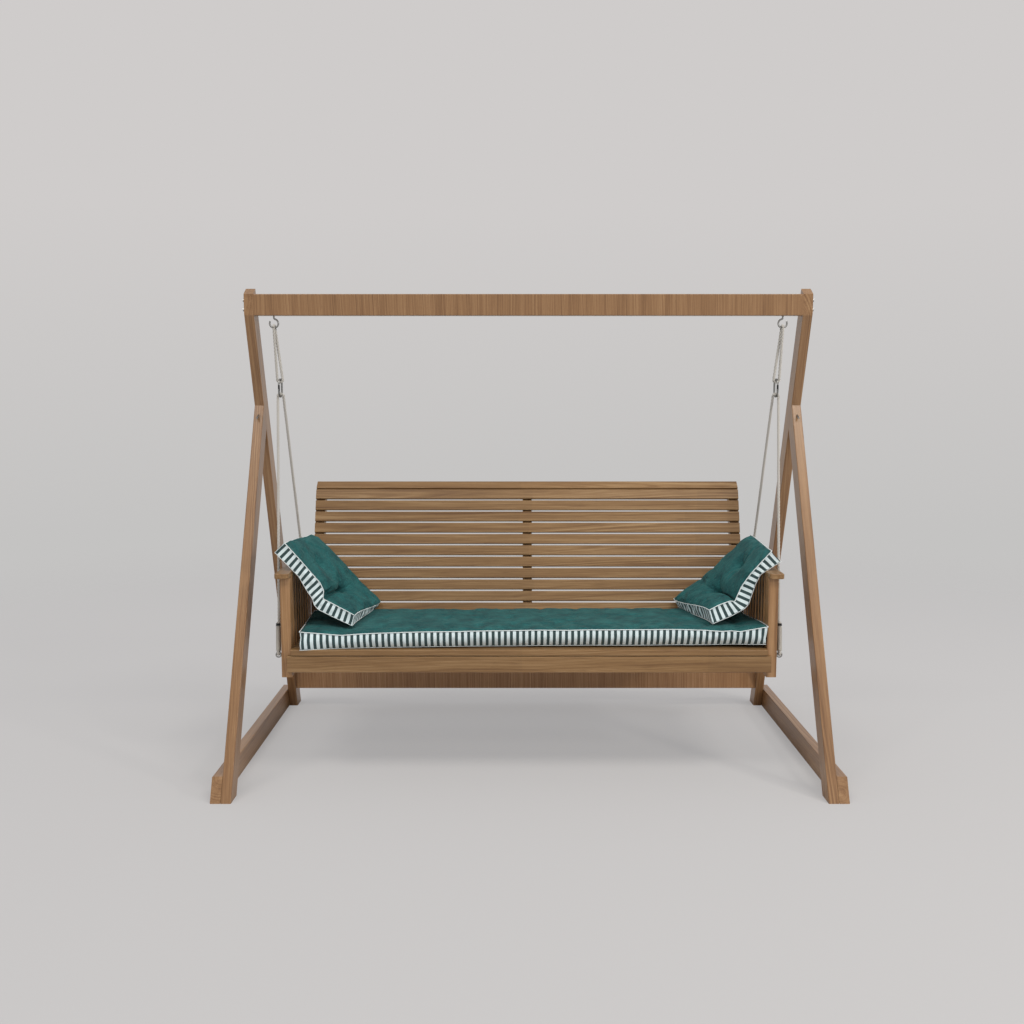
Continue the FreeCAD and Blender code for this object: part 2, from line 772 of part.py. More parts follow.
def back_face(distance, depth):
    """A point of the backrest and the face's direction, at a distance up from the seat and a depth behind it."""
    lean = math.radians(back_recline)
    y = back_foot_y + min(distance, back_straight) * math.sin(lean)
    z = seat_top + min(distance, back_straight) * math.cos(lean)
    angle = lean
    if distance > back_straight:
        angle = lean + (distance - back_straight) / back_curl_radius
        y += back_curl_radius * (math.cos(lean) - math.cos(angle))
        z += back_curl_radius * (math.sin(angle) - math.sin(lean))
    along = (math.sin(angle), math.cos(angle))
    return (y + along[1] * depth, z - along[0] * depth), along


def back_slat(number):
    """Slats are numbered from the top of the backrest."""
    distance = back_face_length - back_slat_width / 2 - number * back_slat_pitch
    middle, along = back_face(distance, 0)
    outline = turned_bar_outline(middle, along, back_slat_width, back_slat_thick, slat_round)
    return plank(outline, 0, 2 * (post_inner_half - slat_end_gap))


def rib(middle_x):
    """Seat bearer and backrest upright, sawn in one from a wide board."""
    front_depth = back_slat_thick
    rear_depth = back_slat_thick + rib_upright_depth
    lean = math.radians(back_recline)
    turn = (back_face_length - back_straight) / back_curl_radius

    def foot(depth):
        """Where the upright's face at this depth meets the bearer's top."""
        (y, z), along = back_face(0, depth)
        return y - (z - bearer_top) * math.tan(lean)

    def curl_corner(depth):
        """The corner whose rounding is the curled part of the upright."""
        reach = (back_curl_radius - depth) * math.tan(turn / 2)
        (y, z), along = back_face(back_straight, depth)
        return y + along[0] * reach, z + along[1] * reach

    front_curl = curl_corner(front_depth)
    rear_curl = curl_corner(rear_depth)
    front_tip = back_face(back_face_length, front_depth)[0]
    rear_tip = back_face(back_face_length, rear_depth)[0]
    corners = [
        (post_front, bearer_top - bearer_depth, rib_nose_round),
        (post_back - post_depth, bearer_top - bearer_depth, 0),
        (post_back - post_depth, bearer_top, 0),
        (foot(rear_depth), bearer_top, rib_rear_fillet),
        (rear_curl[0], rear_curl[1], back_curl_radius - rear_depth),
        (rear_tip[0], rear_tip[1], 0),
        (front_tip[0], front_tip[1], 0),
        (front_curl[0], front_curl[1], back_curl_radius - front_depth),
        (foot(front_depth), bearer_top, rib_front_fillet),
        (post_front, bearer_top, 0),
    ]
    return plank(corners, middle_x, rib_thick)


def make_bench():
    save_pair("front_post", post(-1))
    save_pair("rear_post", post(1))
    save_pair("armrest", armrest())
    save_pair("side_rail", side_rail())
    save_pair("side_slats", side_slats())
    save("apron", apron())
    save("rear_rail", rear_rail())
    save("seat_front_slat", seat_slat(0))
    save("seat_slats", Part.makeCompound([seat_slat(i) for i in range(1, seat_slat_count)]))
    for number in range(back_slat_count):
        save("back_slat_%02d" % (number + 1), back_slat(number))
    for name, x in zip(("rib_left", "rib_centre", "rib_right"), rib_half_places):
        save(name, rib(x))


# Cushions


def seat_cushion():
    """A long box cushion, crowned, drawn in and sunk along its tuft columns."""
    bottom = seat_top + cushion_gap
    front = apron_front - seat_cushion_overhang
    back = back_foot_y - slat_round
    columns = [(i - (tuft_columns - 1) / 2) * tuft_pitch for i in range(tuft_columns)]
    end_crown = seat_cushion_crown - tuft_sink
    stations = [(-seat_cushion_half, end_draw_in, end_crown),
                (-seat_cushion_half + end_round, end_draw_in / 4, seat_cushion_crown)]
    for place in columns:
        stations.append((place - tuft_pitch / 3, 0, seat_cushion_crown))
        stations.append((place, tuft_draw_in, end_crown))
        stations.append((place + tuft_pitch / 3, 0, seat_cushion_crown))
    stations.append((seat_cushion_half - end_round, end_draw_in / 4, seat_cushion_crown))
    stations.append((seat_cushion_half, end_draw_in, end_crown))
    sections = []
    for x, draw, crown in stations:
        low_front = FreeCAD.Vector(x, front + draw, bottom)
        low_back = FreeCAD.Vector(x, back - draw, bottom)
        edge = seat_cushion_edge - draw / 2
        high_front = low_front + Z_AXIS * edge
        high_back = low_back + FreeCAD.Vector(0, seat_cushion_back_slope, edge)
        peak = (high_front + high_back) / 2 + Z_AXIS * crown
        sections.append(Part.Wire([
            Part.LineSegment(low_front, low_back).toShape(),
            Part.LineSegment(low_back, high_back).toShape(),
            Part.Arc(high_back, peak, high_front).toShape(),
            Part.LineSegment(high_front, low_front).toShape()]))
    return Part.makeLoft(sections, True, True)


def pillow_stations(reach, rise, y, runs, slopes):
    """One edge of a pillow from its inner end to its tip: places, headings, thickness, crown and draw."""
    place = FreeCAD.Vector(reach - post_inner_half, y, seat_top + seat_cushion_edge + rise)
    headings = [FreeCAD.Vector(-math.cos(math.radians(a)), 0, math.sin(math.radians(a))) for a in slopes]
    first, second, third = headings
    seat_run, side_run, top_run = runs
    fold = place + first * seat_run
    edge = fold + second * side_run
    tip = edge + third * top_run
    return [
        (place, first, pillow_end_thick, pillow_end_crown, pillow_draw_in),
        (place + first * pillow_bend, first, pillow_thick, pillow_crown, 0),
        (fold - first * pillow_bend, first, pillow_thick, pillow_crown, 0),
        (fold, first + second, pillow_fold_thick, pillow_end_crown, pillow_draw_in),
        (fold + second * pillow_bend, second, pillow_thick, pillow_crown, 0),
        (edge - second * pillow_bend, second, pillow_thick, pillow_crown, 0),
        (edge, second + third, pillow_thick, pillow_crown, 0),
        (edge + third * pillow_bend, third, pillow_thick, pillow_crown, 0),
        (tip - third * pillow_bend, third, pillow_thick, pillow_crown, 0),
        (tip, third, pillow_end_thick, pillow_end_crown, pillow_draw_in),
    ]


def pillow(front_edge, back_edge):
    """A box pillow that leans over the left armrest; its front edge is folded, its back edge straighter."""
    sections = []
    for front, back in zip(front_edge, back_edge):
        thick, crown, draw = front[2:]
        rise = unit(Y_AXIS.cross(unit(front[1]) + unit(back[1])))
        middles = (front[0] + Y_AXIS * draw, back[0] - Y_AXIS * draw)
        high_front, high_back = [m + rise * (thick / 2 - crown) for m in middles]
        low_front = middles[0] - rise * (thick / 2 - crown + pillow_front_drop)
        low_back = middles[1] - rise * (thick / 2 - crown + pillow_back_drop)
        top_middle = (high_front + high_back) / 2 + rise * crown
        under_middle = (low_front + low_back) / 2 + rise * pillow_under_hollow
        sections.append(Part.Wire([
            Part.Arc(low_front, under_middle, low_back).toShape(),
            Part.LineSegment(low_back, high_back).toShape(),
            Part.Arc(high_back, top_middle, high_front).toShape(),
            Part.LineSegment(high_front, low_front).toShape()]))
    return Part.makeLoft(sections, True, True)


def left_pillow():
    front_y = hang_y - pillow_forward - pillow_width / 2
    back_y = hang_y - pillow_forward + pillow_width / 2
    front = pillow_stations(left_front_reach, left_front_rise, front_y,
                            (left_front_seat_run, left_front_side_run, left_front_top_run),
                            (left_front_seat_slope, left_front_side_slope, left_front_top_slope))
    back = pillow_stations(left_back_reach, left_back_rise, back_y,
                           (left_back_seat_run, left_back_side_run, left_back_top_run),
                           (left_back_seat_slope, left_back_side_slope, left_back_top_slope))
    return pillow(front, back)


def right_pillow():
    """Leaned a little differently; made on the left like all pairs and mirrored."""
    front_y = hang_y - pillow_forward - pillow_width / 2
    back_y = hang_y - pillow_forward + pillow_width / 2
    front = pillow_stations(right_front_reach, right_front_rise, front_y,
                            (right_front_seat_run, right_front_side_run, right_front_top_run),
                            (right_front_seat_slope, right_front_side_slope, right_front_top_slope))
    back = pillow_stations(right_back_reach, right_back_rise, back_y,
                           (right_back_seat_run, right_back_side_run, right_back_top_run),
                           (right_back_seat_slope, right_back_side_slope, right_back_top_slope))
    return mirrored(pillow(front, back))


def make_cushions():
    save("seat_cushion", seat_cushion())
    save("pillow_left", left_pillow())
    save("pillow_right", right_pillow())


os.makedirs("parts", exist_ok=True)
make_stand()
make_hangers()
make_bench()
make_cushions()
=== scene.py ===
import bpy, math, random
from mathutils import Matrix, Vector, noise


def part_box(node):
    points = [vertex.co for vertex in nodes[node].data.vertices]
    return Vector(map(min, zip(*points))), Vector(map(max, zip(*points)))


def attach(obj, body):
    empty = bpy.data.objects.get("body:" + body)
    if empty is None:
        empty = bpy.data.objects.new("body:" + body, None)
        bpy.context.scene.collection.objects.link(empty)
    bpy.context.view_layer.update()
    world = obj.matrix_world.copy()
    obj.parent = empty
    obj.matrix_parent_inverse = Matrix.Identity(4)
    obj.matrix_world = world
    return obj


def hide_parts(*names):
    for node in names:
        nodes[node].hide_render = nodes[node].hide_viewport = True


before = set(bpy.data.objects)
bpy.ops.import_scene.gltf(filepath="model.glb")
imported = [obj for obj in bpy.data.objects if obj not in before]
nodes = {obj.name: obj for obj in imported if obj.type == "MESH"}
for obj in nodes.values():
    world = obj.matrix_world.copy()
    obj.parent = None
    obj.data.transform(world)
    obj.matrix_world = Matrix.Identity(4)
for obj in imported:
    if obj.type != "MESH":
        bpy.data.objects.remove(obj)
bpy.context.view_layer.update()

scene = bpy.context.scene


# Studio: a pale floor that fades into the same pale backdrop all round, two long softboxes high
# above the front and a small one low at the right, and the camera where the photograph was
# taken from.


def linear(code):
    """An sRGB hex colour as the linear RGBA that the shaders take."""
    values = [int(code[i:i + 2], 16) / 255 for i in (0, 2, 4)]
    return [v / 12.92 if v < 0.04045 else ((v + 0.055) / 1.055) ** 2.4 for v in values] + [1.0]


def add(tree, kind, links=None, **settings):
    """Adds a shader node. links gives its sockets another node's first output, an output or a value;
    settings with a capital are sockets too, and the others are the node's properties."""
    node = tree.nodes.new("ShaderNode" + kind)
    for name, value in settings.items():
        if name[0].isupper():
            node.inputs[name.replace("_", " ")].default_value = value
        else:
            setattr(node, name, value)
    for socket, source in (links or {}).items():
        if isinstance(source, bpy.types.Node):
            source = source.outputs[0]
        if isinstance(source, bpy.types.NodeSocket):
            tree.links.new(source, node.inputs[socket])
        else:
            node.inputs[socket].default_value = source
    return node


def new_material(name):
    """An empty material and its node tree."""
    material = bpy.data.materials.new(name)
    material.use_nodes = True
    material.node_tree.nodes.clear()
    return material, material.node_tree


def add_object(name, vertices, faces, body=None, slot=None):
    """A smooth mesh object, riding on a body of the frame where one is given."""
    mesh = bpy.data.meshes.new(name)
    mesh.from_pydata([tuple(v) for v in vertices], [], faces)
    mesh.validate()
    mesh.polygons.foreach_set("use_smooth", [True] * len(mesh.polygons))
    made = bpy.data.objects.new(name, mesh)
    scene.collection.objects.link(made)
    if body:
        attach(made, body)
    return made


world = bpy.data.worlds.new("studio")
scene.world = world
world.use_nodes = True
tree = world.node_tree
tree.nodes.clear()
ray = add(tree, "LightPath")
seen = add(tree, "Math", {0: ray.outputs["Is Camera Ray"], 1: ray.outputs["Is Glossy Ray"]},
           operation="MAXIMUM")
seen = add(tree, "Math", {0: seen, 1: ray.outputs["Is Transmission Ray"]}, operation="MAXIMUM")
heading = add(tree, "TexCoord")
rise = add(tree, "SeparateXYZ", {0: heading.outputs["Generated"]})
rise = add(tree, "MapRange", {"Value": rise.outputs["Z"]}, From_Min=-0.12, From_Max=0.16)
backdrop = add(tree, "MixRGB", {0: rise}, Color1=linear("C4C3C2"), Color2=linear("CFCCCB"))
shown = add(tree, "Background", {"Color": backdrop}, Strength=1.0)
light = add(tree, "Background", Color=linear("FBFBFF"), Strength=0.62)
mixed = add(tree, "MixShader", {0: seen, 1: light, 2: shown})
add(tree, "OutputWorld", {"Surface": mixed})

# Matt paint on a flat board: it has no sheen and takes the soft shadow. The camera sees half of it
# as an even glow, as on a well-lit studio floor, and it turns clear before its edge.
FLOOR_HALF = 8.0
FADE_FROM, FADE_TO = 3.0, 7.5
floor_material, tree = new_material("matt_studio_floor")
place = add(tree, "TexCoord")
distance = add(tree, "VectorMath", {0: place.outputs["Object"]}, operation="LENGTH")
fade = add(tree, "MapRange", {"Value": distance.outputs["Value"]}, interpolation_type="SMOOTHERSTEP",
           From_Min=FADE_FROM, From_Max=FADE_TO)
paint = add(tree, "BsdfDiffuse", Color=linear("C5C3C2"))
ray = add(tree, "LightPath")
even = add(tree, "Math", {0: ray.outputs["Is Camera Ray"], 1: 0.5}, operation="MULTIPLY")
glow = add(tree, "Emission", Color=linear("C5C4C4"), Strength=1.0)
paint = add(tree, "MixShader", {0: even, 1: paint, 2: glow})
clear = add(tree, "BsdfTransparent")
mixed = add(tree, "MixShader", {0: fade, 1: paint, 2: clear})
add(tree, "OutputMaterial", {"Surface": mixed})
floor = add_object("studio_floor", [(-FLOOR_HALF, -FLOOR_HALF, 0), (FLOOR_HALF, -FLOOR_HALF, 0),
                                    (FLOOR_HALF, FLOOR_HALF, 0), (-FLOOR_HALF, FLOOR_HALF, 0)],
                   [(0, 1, 2, 3)])
floor.data.materials.append(floor_material)

AIM = Vector((0.0, -0.1, 0.7))
for name, place, size, power in (("softbox_left", (-6.0, -8.9, 16.3), (8.8, 2.0), 880.0),
                                 ("softbox_right", (7.6, -8.9, 16.3), (8.8, 2.0), 1180.0),
                                 ("softbox_side", (5.2, -4.1, 3.6), (0.7, 0.7), 90.0)):
    lamp = bpy.data.lights.new(name, "AREA")
    lamp.shape = "RECTANGLE"
    lamp.size, lamp.size_y = size
    lamp.energy = power
    lamp.color = linear("FFFBF5")[:3]
    softbox = bpy.data.objects.new(name, lamp)
    scene.collection.objects.link(softbox)
    softbox.location = place
    softbox.rotation_euler = (AIM - softbox.location).to_track_quat("-Z", "Y").to_euler()

lens = bpy.data.cameras.new("photo")
lens.lens = 37.27
lens.sensor_width = 36.0
lens.clip_end = 100.0
camera = bpy.data.objects.new("photo", lens)
scene.collection.objects.link(camera)
camera.location = (-0.068, -4.567, 1.565)
camera.rotation_euler = (math.radians(83.47), 0.0, 0.0)
scene.camera = camera
scene.view_settings.view_transform = "Standard"


# Stand: two leaning back legs with a top beam and a rear stretcher between them, front legs that
# butt against them and runners on the floor. Solid timber, sawn and planed, but for the beam and the
# stretcher, which have a face veneer laid up and down. Bolted together and varnished.


def timber(name, turn, dark, mid, light, band=30.0, lines=0.5, jointed=0.0, coat=0.35):
    """Planed hardwood under satin varnish. To the eye it has brown streaks and wavy growth rings along
    the board, thin dark lines, short open pores and a soft sheen that changes with the streaks.
    turn brings the grain's direction to Z; band is the streaks' width in mm, lines the strength of
    the dark lines and jointed the staves' length in metres."""
    material, tree = new_material(name)
    place = add(tree, "TexCoord")
    board = add(tree, "Attribute", attribute_type="OBJECT", attribute_name="pith")
    own = add(tree, "VectorMath", {0: place.outputs["Object"], 1: board.outputs["Vector"]},
              operation="SUBTRACT")
    grain = add(tree, "Mapping", {"Vector": own}, Rotation=turn)

    def streaks(width, run, detail, rough):
        """Soft noise drawn out along the grain, width and run in mm."""
        spread = add(tree, "Mapping", {"Vector": grain}, Scale=(1000 / width, 1000 / width, 1000 / run))
        return add(tree, "TexNoise", {"Vector": spread}, Scale=1.0, Detail=detail, Roughness=rough)

    bands = streaks(band, band * 22, 4.0, 0.62)
    figure = streaks(band * 0.3, band * 9, 3.0, 0.6)
    # Fibres are 2.2 mm wide and pores 1.1 by 26 mm here. The real ones are about 0.3 mm wide, too fine
    # to show from the camera, so both are drawn coarser.
    fibres = streaks(2.2, 110.0, 3.0, 0.7)
    pores = streaks(1.1, 26.0, 1.0, 0.5)
    pores = add(tree, "MapRange", {"Value": pores}, From_Min=0.64, From_Max=0.78, To_Max=0.6)
    # Growth rings: circles round the pith, which wanders by 50 mm and climbs 35 mm a metre. They are
    # 4.76 mm apart, about twice the real spacing, so that they show.
    wander = streaks(300.0, 700.0, 2.0, 0.5)
    spot = add(tree, "SeparateXYZ", {0: grain})
    across = add(tree, "Math", {0: spot.outputs["Z"], 1: 0.035, 2: spot.outputs["X"]},
                 operation="MULTIPLY_ADD")
    across = add(tree, "Math", {0: wander, 1: 0.05, 2: across}, operation="MULTIPLY_ADD")
    radius = add(tree, "CombineXYZ", {0: across, 1: spot.outputs["Y"]})
    radius = add(tree, "VectorMath", {0: radius}, operation="LENGTH")
    radius = add(tree, "Math", {0: radius.outputs["Value"], 1: 1000 / 4.76}, operation="MULTIPLY")
    rings = add(tree, "TexNoise", {"W": radius}, noise_dimensions="1D", Scale=1.0, Detail=2.0,
                Roughness=0.6)
    tone = add(tree, "MixRGB", {1: bands, 2: figure}, Fac=0.36)
    tone = add(tree, "MixRGB", {1: tone, 2: rings}, Fac=0.4)
    tone = add(tree, "MixRGB", {1: tone, 2: fibres}, Fac=0.2)
    ramp = add(tree, "ValToRGB", {"Fac": tone})
    ramp.color_ramp.elements[0].position = 0.36
    ramp.color_ramp.elements[0].color = linear(dark)
    ramp.color_ramp.elements[1].position = 0.66
    ramp.color_ramp.elements[1].color = linear(light)
    ramp.color_ramp.elements.new(0.5).color = linear(mid)
    # Thin dark lines lie where a soft noise crosses its middle value.
    late = streaks(band * 0.55, band * 40, 2.0, 0.5)
    late = add(tree, "Math", {0: late, 1: 0.5}, operation="SUBTRACT")
    late = add(tree, "Math", {0: late}, operation="ABSOLUTE")
    late = add(tree, "MapRange", {"Value": late}, From_Min=0.0, From_Max=0.012, To_Min=lines, To_Max=0.0)
    marks = add(tree, "Math", {0: pores, 1: late}, operation="MAXIMUM")
    colour = add(tree, "MixRGB", {0: marks, 1: ramp}, Color2=linear(dark))
    if jointed:
        # Staves joined end to end differ a little in lightness.
        stave = add(tree, "Math", {0: spot.outputs["Z"], 1: jointed}, operation="DIVIDE")
        stave = add(tree, "Math", {0: stave}, operation="FLOOR")
        stave = add(tree, "TexWhiteNoise", {"W": stave}, noise_dimensions="1D")
        stave = add(tree, "MapRange", {"Value": stave}, To_Min=0.93, To_Max=1.07)
        colour = add(tree, "HueSaturation", {"Color": colour, "Value": stave})
    relief = add(tree, "Bump", {"Height": fibres}, Strength=0.25, Distance=0.0004)
    rough = add(tree, "MapRange", {"Value": bands}, To_Min=0.30, To_Max=0.48)
    shader = add(tree, "BsdfPrincipled", {"Base Color": colour, "Roughness": rough, "Normal": relief},
                 Specular_IOR_Level=0.4, Coat_Weight=coat, Coat_Roughness=0.22)
    add(tree, "OutputMaterial", {"Surface": shader})
    return material


PITH_ASIDE = (0.0, 0.06, 0.02)


def dress(material, names):
    """Gives CAD pieces a material."""
    for name in names:
        nodes[name].data.materials.clear()
        nodes[name].data.materials.append(material)


def finish_boards(material, names):
    """Gives boards a material, and each a pith line of its own near its middle."""
    dress(material, names)
    for name in names:
        low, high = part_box(name)
        luck = random.Random(name)
        nodes[name]["pith"] = [(low[i] + high[i]) / 2 + luck.uniform(-1, 1) * 0.04
                               + luck.choice((-1, 1)) * PITH_ASIDE[i] for i in range(3)]


TO_Z_FROM_X = (0.0, math.radians(-90), 0.0)
TO_Z_FROM_Y = (math.radians(90), 0.0, 0.0)
UPRIGHT = (0.0, 0.0, 0.0)
BACK_LEG_LEAN, FRONT_LEG_LEAN = math.radians(-20.4), math.radians(25.5)
STAND = dict(dark="6B4A2C", mid="8C6844", light="A6835C")
# The stretcher's tones are lighter than the stand's. This is painted light: it stands in for the light that
# does not reach it where it sits in shade, low at the back.
STRETCHER_PAINTED_LIGHT = dict(dark="80593A", mid="A57C54", light="C29B72")
VENEER = dict(band=50.0, lines=0.35)
finish_boards(timber("satin_timber_back_legs", (BACK_LEG_LEAN, 0, 0), **STAND),
              ["back_leg_left", "back_leg_right"])
finish_boards(timber("satin_timber_front_legs", (FRONT_LEG_LEAN, 0, 0), **STAND),
              ["front_leg_left", "front_leg_right"])
finish_boards(timber("satin_timber_runners", TO_Z_FROM_Y, **STAND), ["runner_left", "runner_right"])
finish_boards(timber("satin_veneer_cross_timbers", UPRIGHT, **STAND, **VENEER), ["top_beam"])
finish_boards(timber("satin_veneer_stretcher_painted_light", UPRIGHT, **STRETCHER_PAINTED_LIGHT, **VENEER), ["rear_stretcher"])


# Bolts, top hooks and screw eyes: drawn steel wire and turned bolts with washers, zinc plated. The
# bolts hold the stand's joints, the hooks are screwed up into the beam, and the eyes are screwed
# into the bench's posts.


def metal(name, colour, rough, metallic=1.0):
    """Plated steel, or steel coloured near black. To the eye it is grey, or near black where that colour is
    painted shade, with a soft highlight that handling has broken up a little."""
    material, tree = new_material(name)
    place = add(tree, "TexCoord")
    # The wear's patches are 5.56 mm wide, coarser than the real haze, so that they show on thin wire.
    wear = add(tree, "TexNoise", {"Vector": place.outputs["Object"]}, Scale=1000 / 5.56, Detail=4.0,
               Roughness=0.6)
    gloss = add(tree, "MapRange", {"Value": wear}, To_Min=rough - 0.08, To_Max=rough + 0.12)
    relief = add(tree, "Bump", {"Height": wear}, Strength=0.15, Distance=0.0002)
    shader = add(tree, "BsdfPrincipled", {"Roughness": gloss, "Normal": relief},
                 Base_Color=linear(colour), Metallic=metallic)
    add(tree, "OutputMaterial", {"Surface": shader})
    return material


dress(metal("zinc_plated_steel", "9A9A98", 0.38),
      ["beam_bolts", "knee_bolts", "runner_bolts", "stretcher_bolts", "seat_eyes_left", "seat_eyes_right",
       "top_hook_left", "top_hook_right"])


# Bench: four posts with armrests and side slats, a front apron, three ribs that carry the seat
# slats and the back slats. The same planed timber, under a thinner varnish, screwed together; the
# long slats are joined from staves, and the posts are a lighter cut.
BENCH = dict(dark="654628", mid="85653F", light="A3845D", coat=0.1)
POSTS = dict(dark="7A5736", mid="9E7850", light="BA9672", coat=0.2)
STAVE = 0.737
long_boards = ["apron", "rear_rail", "seat_front_slat", "seat_slats"]
long_boards += ["back_slat_%02d" % number for number in range(1, 14)]
finish_boards(timber("satin_timber_slats", TO_Z_FROM_X, jointed=STAVE, **BENCH), long_boards)
finish_boards(timber("satin_timber_posts", UPRIGHT, **POSTS),
              ["front_post_left", "front_post_right", "rear_post_left", "rear_post_right",
               "side_slats_left", "side_slats_right"])
finish_boards(timber("satin_timber_rails", TO_Z_FROM_Y, **BENCH),
              ["armrest_left", "armrest_right", "side_rail_left", "side_rail_right",
               "rib_left", "rib_centre", "rib_right"])


# Carabiners: bent from brushed steel wire, each with a steel gate that turns on a pin. The gate is coloured
# near black: painted shade, standing for the dark that the bar shows. They join the ropes of the bench to
# the slings on the hooks.
dress(metal("brushed_steel", "8C8C8A", 0.34), ["carabiner_left", "carabiner_right"])
# The gates' near-black colour is painted shade.
dress(metal("gate_black_painted_shade", "141414", 0.4, metallic=0.0), ["carabiner_gate_left", "carabiner_gate_right"])


# Ropes: three-strand laid rope of 12 mm, undyed. A short endless rope goes round each hook and
# carabiner; a long one goes from the front screw eye over the carabiner to the rear one, and its
# folded-back ends are bound to it with cord.
ROPE_RADIUS = 0.006
STRAND_LAY = 0.042
ROPE_STEP = 0.0034


def spline_points(corners, step, closed=False):
    """Points a step apart on the smooth line that the corners steer."""
    curve = bpy.data.curves.new("route", "CURVE")
    curve.dimensions = "3D"
    curve.resolution_u = 24
    line = curve.splines.new("NURBS")
    line.points.add(len(corners) - 1)
    for point, corner in zip(line.points, corners):
        point.co = (*corner, 1.0)
    line.order_u = 3
    line.use_cyclic_u = closed
    line.use_endpoint_u = not closed
    holder = bpy.data.objects.new("route", curve)
    scene.collection.objects.link(holder)
    bpy.context.view_layer.update()
    mesh = bpy.data.meshes.new_from_object(holder)
    raw = [v.co.copy() for v in mesh.vertices]
    bpy.data.objects.remove(holder)
    bpy.data.curves.remove(curve)
    bpy.data.meshes.remove(mesh)
    if closed:
        raw.append(raw[0].copy())
    return evenly(raw, step)


def evenly(raw, step):
    """The same line with its points the same distance apart, about a step."""
    lengths = [0.0]
    for a, b in zip(raw, raw[1:]):
        lengths.append(lengths[-1] + (b - a).length)
    count = max(2, round(lengths[-1] / step))
    points = []
    spot = 0
    for index in range(count + 1):
        wanted = lengths[-1] * index / count
        while spot < len(raw) - 2 and lengths[spot + 1] < wanted:
            spot += 1
        span = lengths[spot + 1] - lengths[spot]
        points.append(raw[spot].lerp(raw[spot + 1], (wanted - lengths[spot]) / span if span else 0.0))
    return points


def frames_along(points, closed=False):
    """A direction and two sides for each point, turning as little as possible."""
    count = len(points)
    frames = []
    side = None
    for index in range(count):
        ahead = points[(index + 1) % count] if closed or index < count - 1 else points[index]
        behind = points[index - 1] if closed or index else points[index]
        way = (ahead - behind).normalized()
        if side is None:
            side = way.orthogonal()
        side = (side - way * side.dot(way)).normalized()
        frames.append((way, side, way.cross(side)))
    return frames


def strand_mesh(points, closed, radius, lay, strands=3, sides=6):
    """Vertices and faces of a rope's strands laid round the line of points."""
    if closed:
        points = points[:-1]
    frames = frames_along(points, closed)
    length = sum((b - a).length for a, b in zip(points, points[1:]))
    turns = round(length / lay) if closed else length / lay
    strand_radius = radius * 0.5
    offset = radius - strand_radius
    fix = 0.0
    if closed:
        last_side, first_side, first_up = frames[-1][1], frames[0][1], frames[0][2]
        fix = -math.atan2(last_side.dot(first_up), last_side.dot(first_side))
    vertices = []
    faces = []
    count = len(points)
    for strand in range(strands):
        base = len(vertices)
        centres = []
        for index, (way, side, up) in enumerate(frames):
            share = index / (count if closed else count - 1)
            angle = math.tau * (turns * share + strand / strands) + fix * share
            centres.append(points[index] + (side * math.cos(angle) + up * math.sin(angle)) * offset)
        for index, (way, side, up) in enumerate(frames):
            for corner in range(sides):
                angle = math.tau * corner / sides
                outward = side * math.cos(angle) + up * math.sin(angle)
                vertices.append(centres[index] + outward * strand_radius)
        rings = count if closed else count - 1
        for index in range(rings):
            a = base + index * sides
            b = base + (index + 1) % count * sides
            for corner in range(sides):
                after = (corner + 1) % sides
                faces.append((a + corner, a + after, b + after, b + corner))
        if not closed:
            faces.append(tuple(base + corner for corner in reversed(range(sides))))
            faces.append(tuple(base + (count - 1) * sides + corner for corner in range(sides)))
    return vertices, faces


def yarn(name, pale, dark, thread):
    """Twisted fibre. To the eye it is dull and pale in the threads, with painted shade darker between them
    where the bump sinks, and a little fuzz against the light; thread is their spacing in mm, coarser than
    the real 0.3 mm."""
    material, tree = new_material(name)
    place = add(tree, "TexCoord")
    threads = add(tree, "Mapping", {"Vector": place.outputs["Object"]}, Rotation=(0.5, 0.3, 0.0),
                  Scale=(1000 / thread, 1000 / thread, 350 / thread))
    threads = add(tree, "TexNoise", {"Vector": threads}, Scale=1.0, Detail=3.0, Roughness=0.7)
    # Painted shade: the colour runs to dark where the thread noise is low, in the hollows that the bump
    # sinks.
    colour = add(tree, "MixRGB", {0: threads}, Color1=linear(dark), Color2=linear(pale))
    relief = add(tree, "Bump", {"Height": threads}, Strength=0.4, Distance=0.0005)
    shader = add(tree, "BsdfPrincipled", {"Base Color": colour, "Normal": relief},
                 Roughness=0.85, Sheen_Weight=0.25, Sheen_Roughness=0.5)
    add(tree, "OutputMaterial", {"Surface": shader})
    return material


rope_finish = yarn("undyed_laid_rope", "D3CFC7", "97938B", 1.111)

# The left ropes' corners. Each bend starts the named way from its corner: at the screw eye, at the
# carabiner for either rope, and at the hook.
seat_route = [(-1.0076, -0.3880, 0.6420), (-1.0016, -0.4268, 0.5192), (-1.0016, -0.4099, 0.5138),
              (-1.0522, -0.0819, 1.5512), (-1.0298, -0.0834, 1.5512), (-1.0018, 0.2445, 0.5138),
              (-1.0018, 0.2615, 0.5192), (-1.0051, 0.2227, 0.6421)]
sling_route = [(-1.0610, -0.0932, 1.8354), (-1.0530, -0.0818, 1.6008), (-1.0290, -0.0835, 1.6008),
               (-1.0610, -0.0722, 1.8354)]
EYE_BEND, SNAP_BEND, SLING_SNAP_BEND, HOOK_BEND = 0.0178, 0.0218, 0.0232, 0.021
STRAIGHT = 0.072


def near(corner, other, gap):
    """The point on the run from a corner towards another, a gap away from it."""
    corner, other = Vector(corner), Vector(other)
    return corner + (other - corner).normalized() * gap


def seat_line(side):
    """Corners of the seat rope: the long runs stay straight up to the eye and the carabiner."""
    points = [Vector((x * -side, y, z)) for x, y, z in seat_route]
    return [points[0], near(points[1], points[0], EYE_BEND), points[1], points[2],
            near(points[2], points[3], EYE_BEND), near(points[3], points[2], STRAIGHT),
            near(points[3], points[2], SNAP_BEND), points[3], points[4],
            near(points[4], points[5], SNAP_BEND), near(points[4], points[5], STRAIGHT),
            near(points[5], points[4], EYE_BEND), points[5], points[6],
            near(points[6], points[7], EYE_BEND), points[7]]


